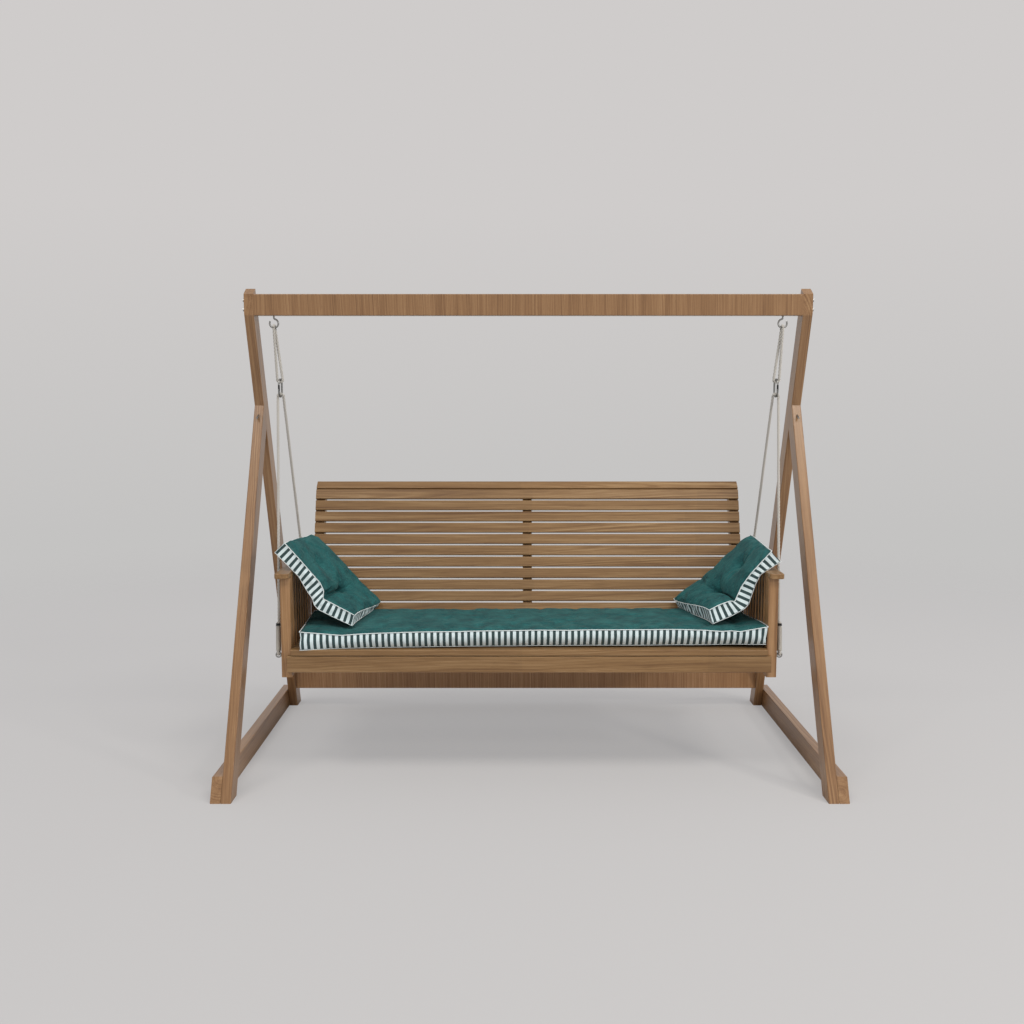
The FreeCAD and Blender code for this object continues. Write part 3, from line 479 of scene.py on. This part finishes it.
for side, word in ((-1, "left"), (1, "right")):
    line = spline_points(seat_line(side), ROPE_STEP)
    rope = add_object("laid_seat_rope_" + word, *strand_mesh(line, False, ROPE_RADIUS, STRAND_LAY),
                      body="seat", slot="rope")
    rope.data.materials.append(rope_finish)
    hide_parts("seat_rope_" + word)
    hook_a, snap_a, snap_b, hook_b = [Vector((x * -side, y, z)) for x, y, z in sling_route]
    loop = [hook_a, near(hook_a, snap_a, HOOK_BEND), near(snap_a, hook_a, SLING_SNAP_BEND), snap_a,
            snap_b, near(snap_b, hook_b, SLING_SNAP_BEND), near(hook_b, snap_b, HOOK_BEND), hook_b]
    line = spline_points(loop, ROPE_STEP, closed=True)
    rope = add_object("laid_sling_rope_" + word, *strand_mesh(line, True, ROPE_RADIUS, STRAND_LAY),
                      body="sling_" + word, slot="rope")
    rope.data.materials.append(rope_finish)
    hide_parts("sling_rope_" + word)


# Whippings: twisted pale cord of 2.4 mm wound tightly round both runs of the seat rope above each screw eye,
# finished with a few turns of cord where the folded-back end comes out. Those turns are coloured black:
# painted shade, standing for the shaded cut end of the rope.
CORD = 0.0024
# Where the pale and the black cord start and end above the eye, and the corners of a half-turn.
PALE_SPAN, BLACK_SPAN = (0.0062, 0.1028), (0.1052, 0.1148)
ARC = 5
cord_finish = yarn("pale_whipping_cord", "CFCAC0", "8F8A80", 0.667)
cord_shade_paint = yarn("black_cord_painted_shade", "1A1B1A", "0A0B0A", 0.667)


def tube_mesh(points, radius, sides, closed=False):
    """Vertices and faces of a round tube along points."""
    if closed:
        points = points[:-1]
    frames = frames_along(points, closed)
    vertices = []
    for point, (way, side, up) in zip(points, frames):
        for corner in range(sides):
            angle = math.tau * corner / sides
            vertices.append(point + (side * math.cos(angle) + up * math.sin(angle)) * radius)
    faces = []
    count = len(points)
    for index in range(count if closed else count - 1):
        a = index * sides
        b = (index + 1) % count * sides
        for corner in range(sides):
            after = (corner + 1) % sides
            faces.append((a + corner, a + after, b + after, b + corner))
    if not closed:
        faces.append(tuple(reversed(range(sides))))
        faces.append(tuple((count - 1) * sides + corner for corner in range(sides)))
    return vertices, faces


def winding(name, low, high, flank, body, finish):
    """Cord wound round the two runs of rope that lie flank to either side of the line low to high."""
    way = (high - low).normalized()
    side = flank - way * flank.dot(way)
    half = side.length
    side = side.normalized()
    up = way.cross(side)
    reach = ROPE_RADIUS + CORD * 0.5
    turns = round((high - low).length / CORD)
    rim = [(1, math.pi * (step / ARC - 0.5)) for step in range(ARC + 1)]
    rim += [(-1, math.pi * (step / ARC + 0.5)) for step in range(ARC + 1)]
    points = []
    for index in range(turns * len(rim) + 1):
        end, angle = rim[index % len(rim)]
        points.append(low + (high - low) * (index / (turns * len(rim)))
                      + side * (half * end + math.cos(angle) * reach) + up * math.sin(angle) * reach)
    coil = add_object(name, *tube_mesh(points, CORD * 0.52, 6), body=body, slot="rope")
    coil.data.materials.append(finish)
    return coil


for side, word in ((-1, "left"), (1, "right")):
    route = [Vector((x * -side, y, z)) for x, y, z in seat_route]
    for end, tail, corner, foot in (("front", 0, 1, 2), ("rear", 7, 6, 5)):
        heading = (route[tail] - route[corner]).normalized()
        flank = (route[corner] - route[foot]) * 0.5
        middle = (route[corner] + route[foot]) * 0.5 + heading * flank.length
        pale = winding("pale_whipping_%s_%s" % (end, word), middle + heading * PALE_SPAN[0],
                       middle + heading * PALE_SPAN[1], flank, "seat", cord_finish)
        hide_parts("rope_whippings_" + word)
        # The black turns' colour is painted shade at the rope's cut end.
        black = winding("black_whipping_%s_%s" % (end, word), middle + heading * BLACK_SPAN[0],
                        middle + heading * BLACK_SPAN[1], flank, "seat", cord_shade_paint)
        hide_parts("rope_bands")


# Seat cushion: a foam slab 1.86 m long in a sewn cotton cover, with deep green faces, striped boxing,
# white piping in the seams and rows of thread tufts. It lies loose on the slats; its front seams are
# a little wavy and the right end is lifted.
STRIPE = 0.0243


def cloth_weave(tree, place):
    """Fine crossed threads as a grey value, 1.54 mm apart: three times the real 0.5 mm, to show."""
    return add(tree, "TexNoise", {"Vector": place.outputs["Object"]}, Scale=1000 / 1.54, Detail=2.0,
               Roughness=0.7)


def cotton(name, colour, deep, light):
    """Dyed plain-woven cotton. To the eye it is matt, with soft clouds and slubs in its colour and
    shallow crumples that run along the cushion."""
    material, tree = new_material(name)
    place = add(tree, "TexCoord")
    spot = place.outputs["Object"]
    weave = cloth_weave(tree, place)
    cloud = add(tree, "TexNoise", {"Vector": spot}, Scale=1000 / 71.4, Detail=4.0, Roughness=0.6)
    # Slubs are 22.2 by 4.76 mm, longer and wider than real ones, which are too fine to show.
    slubs = add(tree, "Mapping", {"Vector": spot}, Scale=(1000 / 22.2, 1000 / 4.76, 1000 / 4.76))
    slubs = add(tree, "TexNoise", {"Vector": slubs}, Scale=1.0, Detail=3.0, Roughness=0.65)
    cloud = add(tree, "MixRGB", {1: cloud, 2: slubs}, Fac=0.5)
    tint = add(tree, "ValToRGB", {"Fac": cloud})
    tint.color_ramp.elements[0].position = 0.36
    tint.color_ramp.elements[0].color = linear(deep)
    tint.color_ramp.elements[1].position = 0.64
    tint.color_ramp.elements[1].color = linear(light)
    tint.color_ramp.elements.new(0.5).color = linear(colour)
    shade = add(tree, "MixRGB", {1: tint, 2: weave}, Fac=0.18, blend_type="MULTIPLY")
    # Crumples of 77 by 16.7 mm, as a filled cover has.
    crumple = add(tree, "Mapping", {"Vector": spot}, Scale=(1000 / 77, 1000 / 16.7, 1000 / 16.7))
    crumple = add(tree, "TexNoise", {"Vector": crumple}, Scale=1.0, Detail=4.0, Roughness=0.6,
                  Distortion=0.4)
    crumple = add(tree, "Bump", {"Height": crumple}, Strength=0.9, Distance=0.006)
    relief = add(tree, "Bump", {"Height": weave, "Normal": crumple}, Strength=0.3, Distance=0.0004)
    shader = add(tree, "BsdfPrincipled", {"Base Color": shade, "Normal": relief}, Roughness=0.85,
                 Sheen_Weight=0.05, Sheen_Roughness=0.4, Specular_IOR_Level=0.3)
    add(tree, "OutputMaterial", {"Surface": shader})
    return material


def striped(name, pale, dark, width):
    """Yarn-dyed striped cotton. To the eye it has even pale and dark stripes, straight from seam to
    seam, with edges softened by the threads; width is that of one pale and one dark stripe."""
    material, tree = new_material(name)
    place = add(tree, "TexCoord")
    weave = cloth_weave(tree, place)
    run = add(tree, "SeparateXYZ", {0: place.outputs["UV"]})
    phase = add(tree, "Math", {0: run.outputs["X"], 1: width}, operation="DIVIDE")
    phase = add(tree, "Math", {0: phase}, operation="FRACT")
    phase = add(tree, "Math", {0: phase, 1: 0.5}, operation="PINGPONG")
    edge = add(tree, "MapRange", {"Value": phase}, From_Min=0.248, From_Max=0.268)
    colour = add(tree, "MixRGB", {0: edge}, Color1=linear(pale), Color2=linear(dark))
    shade = add(tree, "MixRGB", {1: colour, 2: weave}, Fac=0.12, blend_type="MULTIPLY")
    relief = add(tree, "Bump", {"Height": weave}, Strength=0.3, Distance=0.0004)
    shader = add(tree, "BsdfPrincipled", {"Base Color": shade, "Normal": relief}, Roughness=0.85,
                 Sheen_Weight=0.2, Sheen_Roughness=0.5)
    add(tree, "OutputMaterial", {"Surface": shader})
    return material


green_cotton = cotton("deep_green_cotton", "1D5959", "0F4044", "2C6C6B")
stripe_cotton = striped("green_and_white_striped_cotton", "E0F0F2", "2C4546", STRIPE)
piping_cotton = yarn("white_cotton_piping", "EAF0F0", "CBD4D4", 1.429)
thread_finish = yarn("dark_green_tuft_thread", "1B4444", "0F2C2D", 1.111)
LOWER_PIPING, UPPER_PIPING, PIPING_STEP = 0.0012, 0.0017, 0.007
CLOTH_FRAMES = 20


def box_cushion(name, form, counts, tufts, tuft_size, body, cap, pressure):
    """A closed cushion. form(a, b, h) places each point: a along it, b from front to back, h up the
    boxing. tufts are (a, b) places where the top face is held down by thread."""
    na, nb, nh = counts
    index = {}
    vertices = []

    def at(i, j, k):
        if (i, j, k) not in index:
            index[i, j, k] = len(vertices)
            vertices.append(form(i / na, j / nb, k / nh))
        return index[i, j, k]

    rim = [(i, 0) for i in range(na)] + [(na, j) for j in range(nb)]
    rim += [(i, nb) for i in range(na, 0, -1)] + [(0, j) for j in range(nb, 0, -1)]
    faces, kinds, places = [], [], []
    for k in (0, nh):
        for i in range(na):
            for j in range(nb):
                face = [at(i, j, k), at(i + 1, j, k), at(i + 1, j + 1, k), at(i, j + 1, k)]
                faces.append(face if k else face[::-1])
                kinds.append(0)
                places.append([(0.0, 0.0)] * 4)
    run = 0.0
    for (i, j), (m, n) in zip(rim, rim[1:] + rim[:1]):
        length = (Vector(form(i / na, j / nb, 0.5)) - Vector(form(m / na, n / nb, 0.5))).length
        for k in range(nh):
            faces.append([at(i, j, k), at(m, n, k), at(m, n, k + 1), at(i, j, k + 1)])
            kinds.append(1)
            low, high = k / nh, (k + 1) / nh
            places.append([(run, low), (run + length, low), (run + length, high), (run, high)])
        run += length
    cushion = add_object(name, vertices, faces, slot="striped_cloth")
    mesh = cushion.data
    mesh.materials.append(green_cotton)
    mesh.materials.append(stripe_cotton)
    mesh.polygons.foreach_set("material_index", kinds)
    layer = mesh.uv_layers.new(name="boxing")
    layer.data.foreach_set("uv", [value for face in places for pair in face for value in pair])
    seams = [[index[i, j, k] for i, j in rim] for k in (0, nh)]
    held = set(seams[0] + seams[1])
    buttons = []
    for a, b in tufts:
        i, j = round(a * na), round(b * nb)
        buttons.append(index[i, j, nh])
        held.add(index[i, j, nh])
    inflate(cushion, held, cap, pressure)
    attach(cushion, body)
    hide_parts(body)
    outward_piping(name + "_lower_piping", LOWER_PIPING, mesh, seams[0], body)
    outward_piping(name + "_upper_piping", UPPER_PIPING, mesh, seams[1], body)
    for number, spot in enumerate(buttons):
        tuft(name + "_tuft_%02d" % (number + 1), mesh, spot, body, tuft_size)
    more = cushion.modifiers.new("smooth", "SUBSURF")
    more.levels = more.render_levels = 1


def inflate(cushion, held, cap, pressure):
    """Fills the cover with Cloth: the seams and tufts hold, and no point moves further than cap."""
    before = [v.co.copy() for v in cushion.data.vertices]
    group = cushion.vertex_groups.new(name="held")
    group.add(sorted(held), 1.0, "REPLACE")
    cloth = cushion.modifiers.new("fill", "CLOTH")
    settings = cloth.settings
    settings.quality = 6
    settings.mass = 0.25
    settings.tension_stiffness = 20
    settings.compression_stiffness = 20
    settings.shear_stiffness = 8
    settings.bending_stiffness = 0.4
    settings.use_pressure = True
    settings.uniform_pressure_force = pressure
    settings.vertex_group_mass = "held"
    settings.shrink_min = -0.035
    settings.effector_weights.gravity = 0
    cloth.point_cache.frame_start = 1
    cloth.point_cache.frame_end = CLOTH_FRAMES
    for frame_number in range(1, CLOTH_FRAMES + 1):
        scene.frame_set(frame_number)
    graph = bpy.context.evaluated_depsgraph_get()
    after = [v.co.copy() for v in cushion.evaluated_get(graph).data.vertices]
    cushion.modifiers.remove(cloth)
    cushion.vertex_groups.remove(group)
    for vertex, old, new in zip(cushion.data.vertices, before, after):
        move = new - old
        if move.length > cap:
            move = move.normalized() * cap
        vertex.co = old + move
    scene.frame_set(1)


def outward_piping(name, radius, mesh, seam, body):
    """A round cord sewn in along a seam, standing a little proud of it."""
    points = [mesh.vertices[i].co + mesh.vertices[i].normal * radius * 0.6 for i in seam]
    points.append(points[0].copy())
    vertices, faces = tube_mesh(evenly(points, PIPING_STEP), radius, 8, closed=True)
    piping = add_object(name, vertices, faces, body=body, slot="striped_cloth")
    piping.data.materials.append(piping_cotton)


def tuft(name, mesh, spot, body, size):
    """A knot of thread pulled into the face: three turns that draw in as they rise."""
    middle = mesh.vertices[spot].co
    up = mesh.vertices[spot].normal
    side = up.orthogonal().normalized()
    other = up.cross(side)
    points = []
    for step in range(25):
        angle = math.tau * step / 8
        reach = size * (1 - step / 34)
        points.append(middle + (side * math.cos(angle) + other * math.sin(angle)) * reach
                      + up * size * (0.12 + step * 0.03))
    vertices, faces = tube_mesh(points, size * 0.28, 5)
    knot = add_object(name, vertices, faces, body=body, slot="striped_cloth")
    knot.data.materials.append(thread_finish)


def on_line(table, share):
    """The value at a share along a table of (share, values)."""
    for (a, *first), (b, *last) in zip(table, table[1:]):
        if share <= b:
            t = (share - a) / (b - a)
            return [p + (q - p) * t for p, q in zip(first, last)]
    return list(table[-1][1:])


seat_top_seam = [(-0.905, 0.618), (-0.83, 0.612), (-0.742, 0.603), (-0.656, 0.609), (-0.51, 0.613),
                 (-0.34, 0.615), (0.0, 0.619), (0.34, 0.621), (0.567, 0.623), (0.7, 0.621), (0.764, 0.616),
                 (0.80, 0.619), (0.835, 0.616), (0.874, 0.625), (0.94, 0.638)]
seat_low_seam = [(-0.905, 0.5458), (-0.8, 0.5475), (-0.656, 0.549), (-0.51, 0.5505), (-0.34, 0.5515),
                 (0.0, 0.5525), (0.2, 0.554), (0.4, 0.554), (0.567, 0.556), (0.7, 0.557), (0.835, 0.560),
                 (0.94, 0.562)]
seat_under = [(-0.905, 0.0), (-0.8, 0.014), (-0.656, 0.018), (0.0, 0.022), (0.567, 0.024), (0.94, 0.028)]
seat_front = [(-0.905, -0.466), (-0.742, -0.458), (-0.51, -0.451), (0.0, -0.437), (0.5, -0.439),
              (0.8, -0.444), (0.94, -0.462)]
SEAT_LEFT, SEAT_RIGHT, SEAT_DEPTH = -0.907, 0.943, 0.44
SEAT_BACK_LOW, SEAT_BACK_HIGH = -0.034, -0.016
TUFT_COLUMNS = [-0.845 + column * 0.130 for column in range(14)]
TUFT_ROWS = [0.2 + 0.3 * row for row in range(3)]
TUFT_PULL, TUFT_REACH = 0.0035, 0.012


def seat_form(a, b, h):
    """A point of the seat cushion. Both ends lie a little further left at the back."""
    ease = b * b * (3 - 2 * b)
    left = SEAT_LEFT - 0.020 * ease
    right = SEAT_RIGHT - 0.017 * ease
    x = left + (right - left) * a
    wave = noise.noise(Vector((x * 9, b * 3, 0.3)))
    low, = on_line(seat_low_seam, x)
    top, = on_line(seat_top_seam, x)
    front, = on_line(seat_front, x)
    under, = on_line(seat_under, x)
    low = low + (0.5458 - low) * min(1.0, b * 4) + 0.0008 * wave * (1 - b)
    high = top + (0.612 - top) * ease + 0.0014 * wave
    # The boxing's edges: rounded corners at the back, and a front that draws back between its seams.
    ends = min(a, 1 - a)
    tuck = 0.010 * max(0.0, 1 - ends / 0.03) ** 2
    front += under * (1 - h) - 0.006 * math.sin(math.pi * h)
    back = SEAT_BACK_LOW + (SEAT_BACK_HIGH - SEAT_BACK_LOW) * h - tuck
    y = front + (back - front) * b
    z = low + (high - low) * h
    if h == 1:
        # The top face: a flat crown, the tufts' pits and a faint unevenness from front to back.
        crown = (1 - (1 - min(1.0, min(b * 3, 1 - b) * 5)) ** 2) ** 0.6 * min(1.0, ends * 30)
        z += (0.004 + (0.010 + 0.003 * x / 0.9) * ease) * crown
        for column in TUFT_COLUMNS:
            for row in TUFT_ROWS:
                away = math.hypot(x - column, (b - row) * SEAT_DEPTH)
                z -= TUFT_PULL * math.exp(-away ** 2 / (2 * TUFT_REACH ** 2))
        z += 0.0012 * noise.noise(Vector((x * 14, y * 55, 5.1))) * crown
    return (x, y, z)


seat_tufts = [((column - SEAT_LEFT) / 1.845, row) for column in TUFT_COLUMNS for row in TUFT_ROWS]
box_cushion("sewn_seat_cushion", seat_form, (184, 46, 6), seat_tufts, 0.0026, "seat_cushion",
            cap=0.005, pressure=1.5)


# Pillows: two box pillows 0.41 m square of the same cottons, filled with fibre. One leans over each
# armrest, folded where the seat meets the side, and has two deep tufts with creases that run out
# from them, and one crease along the fold.
left_pillow = dict(
    front_top=[(0, 0.698, 0.669), (0.17, 0.762, 0.702), (0.344, 0.826, 0.735), (0.43, 0.823, 0.769),
               (0.515, 0.838, 0.801), (1, 0.972, 0.962)],
    front_low=[(0, 0.709, 0.626), (0.158, 0.775, 0.655), (0.326, 0.846, 0.690), (0.388, 0.863, 0.709),
               (0.452, 0.870, 0.735), (0.551, 0.893, 0.770), (0.709, 0.923, 0.826), (0.792, 0.948, 0.853),
               (1, 1.014, 0.924)],
    back_top=[(0, 0.640, 0.650), (0.36, 0.742, 0.746), (0.68, 0.842, 0.857), (1, 0.938, 0.948)],
    back_low=[(0, 0.658, 0.630), (0.30, 0.790, 0.692), (0.66, 0.892, 0.806), (1, 0.973, 0.907)],
    tufts=[(0.67, 0.39), (0.355, 0.48)], pinch=0.35,
    creases=[(0, -0.6, 0.060, 0.006), (0, 0.5, 0.075, 0.005), (0, 1.7, 0.050, 0.005), (0, 2.9, 0.080, 0.004),
             (1, 0.2, 0.075, 0.006), (1, 1.1, 0.060, 0.004), (1, 1.9, 0.080, 0.006), (1, 2.7, 0.065, 0.005),
             (1, -2.3, 0.050, 0.004)])
right_pillow = dict(
    front_top=[(0, 0.7216, 0.6905), (0.124, 0.7616, 0.711), (0.255, 0.8067, 0.726), (0.311, 0.827, 0.7235),
               (0.348, 0.8315, 0.736), (0.484, 0.8503, 0.782), (0.671, 0.8885, 0.838), (1, 0.967, 0.930)],
    front_low=[(0, 0.7376, 0.6352), (0.19, 0.8123, 0.6656), (0.30, 0.864, 0.694), (0.345, 0.882, 0.713),
               (0.585, 0.908, 0.796), (0.71, 0.9265, 0.834), (1, 1.004, 0.888)],
    back_top=[(0, 0.639, 0.661), (0.36, 0.758, 0.745), (0.66, 0.855, 0.841), (1, 0.967, 0.943)],
    back_low=[(0, 0.656, 0.630), (0.30, 0.788, 0.691), (0.66, 0.893, 0.811), (1, 0.991, 0.900)],
    tufts=[(0.69, 0.42), (0.32, 0.45)], pinch=0.315,
    creases=[(0, -0.3, 0.080, 0.006), (0, 0.7, 0.060, 0.005), (0, 1.7, 0.050, 0.004), (0, 3.0, 0.095, 0.005),
             (1, 0.5, 0.090, 0.006), (1, 1.3, 0.080, 0.006), (1, 2.1, 0.060, 0.004), (1, 2.9, 0.080, 0.005),
             (1, -0.9, 0.050, 0.004)])
PILLOW_FRONT, PILLOW_BACK = -0.391, -0.010
PILLOW_LENGTH, PILLOW_DEPTH = 0.43, 0.38


def puckers(a, b, sizes):
    """How far the face is pulled in at a place, in metres: tufts, their creases and the fold."""
    depth = 0.0
    for number, (tuft_a, tuft_b) in enumerate(sizes["tufts"]):
        da, db = (a - tuft_a) * PILLOW_LENGTH, (b - tuft_b) * PILLOW_DEPTH
        away = math.hypot(da, db)
        depth += 0.016 * math.exp(-(away / 0.012) ** 2) + 0.016 * math.exp(-(away / 0.034) ** 2)
        for owner, angle, reach, deep in sizes["creases"]:
            along = da * math.cos(angle) + db * math.sin(angle)
            across = db * math.cos(angle) - da * math.sin(angle)
            if owner == number and 0 < along < reach:
                wide = 0.0040 + 0.05 * along
                taper = (1 - along / reach) * min(1.0, along / 0.012)
                depth += 1.5 * deep * math.exp(-(across / wide) ** 2) * taper
    low_a, low_b = sizes["tufts"][1]
    along = min(1.0, max(0.0, b / low_b))
    off = (a - (sizes["pinch"] + (low_a - sizes["pinch"]) * along)) * PILLOW_LENGTH
    beyond = max(0.0, b - low_b) * PILLOW_DEPTH
    fold = 0.013 * math.exp(-(off / 0.007) ** 2) + 0.006 * math.exp(-(off / 0.025) ** 2)
    return depth + fold * math.exp(-(beyond / 0.05) ** 2)


def pillow_form(sizes, side):
    """The form of one pillow; side is -1 on the left and 1 on the right."""

    def flat(a, b, h):
        """A point of the pillow before its faces are filled out."""
        top_x, top_z = on_line(sizes["front_top"], a)
        low_x, low_z = on_line(sizes["front_low"], a)
        far_top_x, far_top_z = on_line(sizes["back_top"], a)
        far_low_x, far_low_z = on_line(sizes["back_low"], a)
        ease = b * b * (3 - 2 * b)
        far_x = far_low_x + (far_top_x - far_low_x) * h
        far_z = far_low_z + (far_top_z - far_low_z) * h
        x = (low_x + (top_x - low_x) * h) * (1 - ease) + far_x * ease
        z = (low_z + (top_z - low_z) * h) * (1 - ease) + far_z * ease
        draw = 0.012 * (math.sin(math.pi * a)) ** 0.7
        y = PILLOW_FRONT + draw + (PILLOW_BACK - PILLOW_FRONT - 2 * draw) * b
        return (x * side, y, z)

    def swell(low, high):
        """Rises quickly from an edge; low and high are the distances to the two edges in its widths."""
        return (1 - (1 - min(1.0, low, high)) ** 2) ** 0.55

    def crowned(a, b, h):
        """The same point with the crown of the filling and the puckers."""
        point = Vector(flat(a, b, h))
        if h not in (0, 1) or a in (0, 1) or b in (0, 1):
            return tuple(point)
        step = 0.02
        along = Vector(flat(min(1, a + step), b, h)) - Vector(flat(max(0, a - step), b, h))
        across = Vector(flat(a, min(1, b + step), h)) - Vector(flat(a, max(0, b - step), h))
        up = along.cross(across).normalized()
        if up.z < 0:
            up = -up
        full = swell(a / 0.09, (1 - a) / 0.11) * swell(b / 0.3, (1 - b) / 0.16)
        if h == 0:
            return tuple(point + up * 0.004 * full)
        soft = noise.noise(Vector((a * 6, b * 4, 3.7 * side)))
        soft += 0.5 * noise.noise(Vector((a * 13, b * 9, 1.1 * side)))
        crown = 0.010 + 0.009 * b
        return tuple(point + up * full * (crown - puckers(a, b, sizes) + 0.0020 * soft))

    return crowned


for word, side, sizes in (("left", -1, left_pillow), ("right", 1, right_pillow)):
    box_cushion("sewn_pillow_" + word, pillow_form(sizes, side), (100, 88, 6), sizes["tufts"], 0.0055,
                "pillow_" + word, cap=0.003, pressure=1.0)
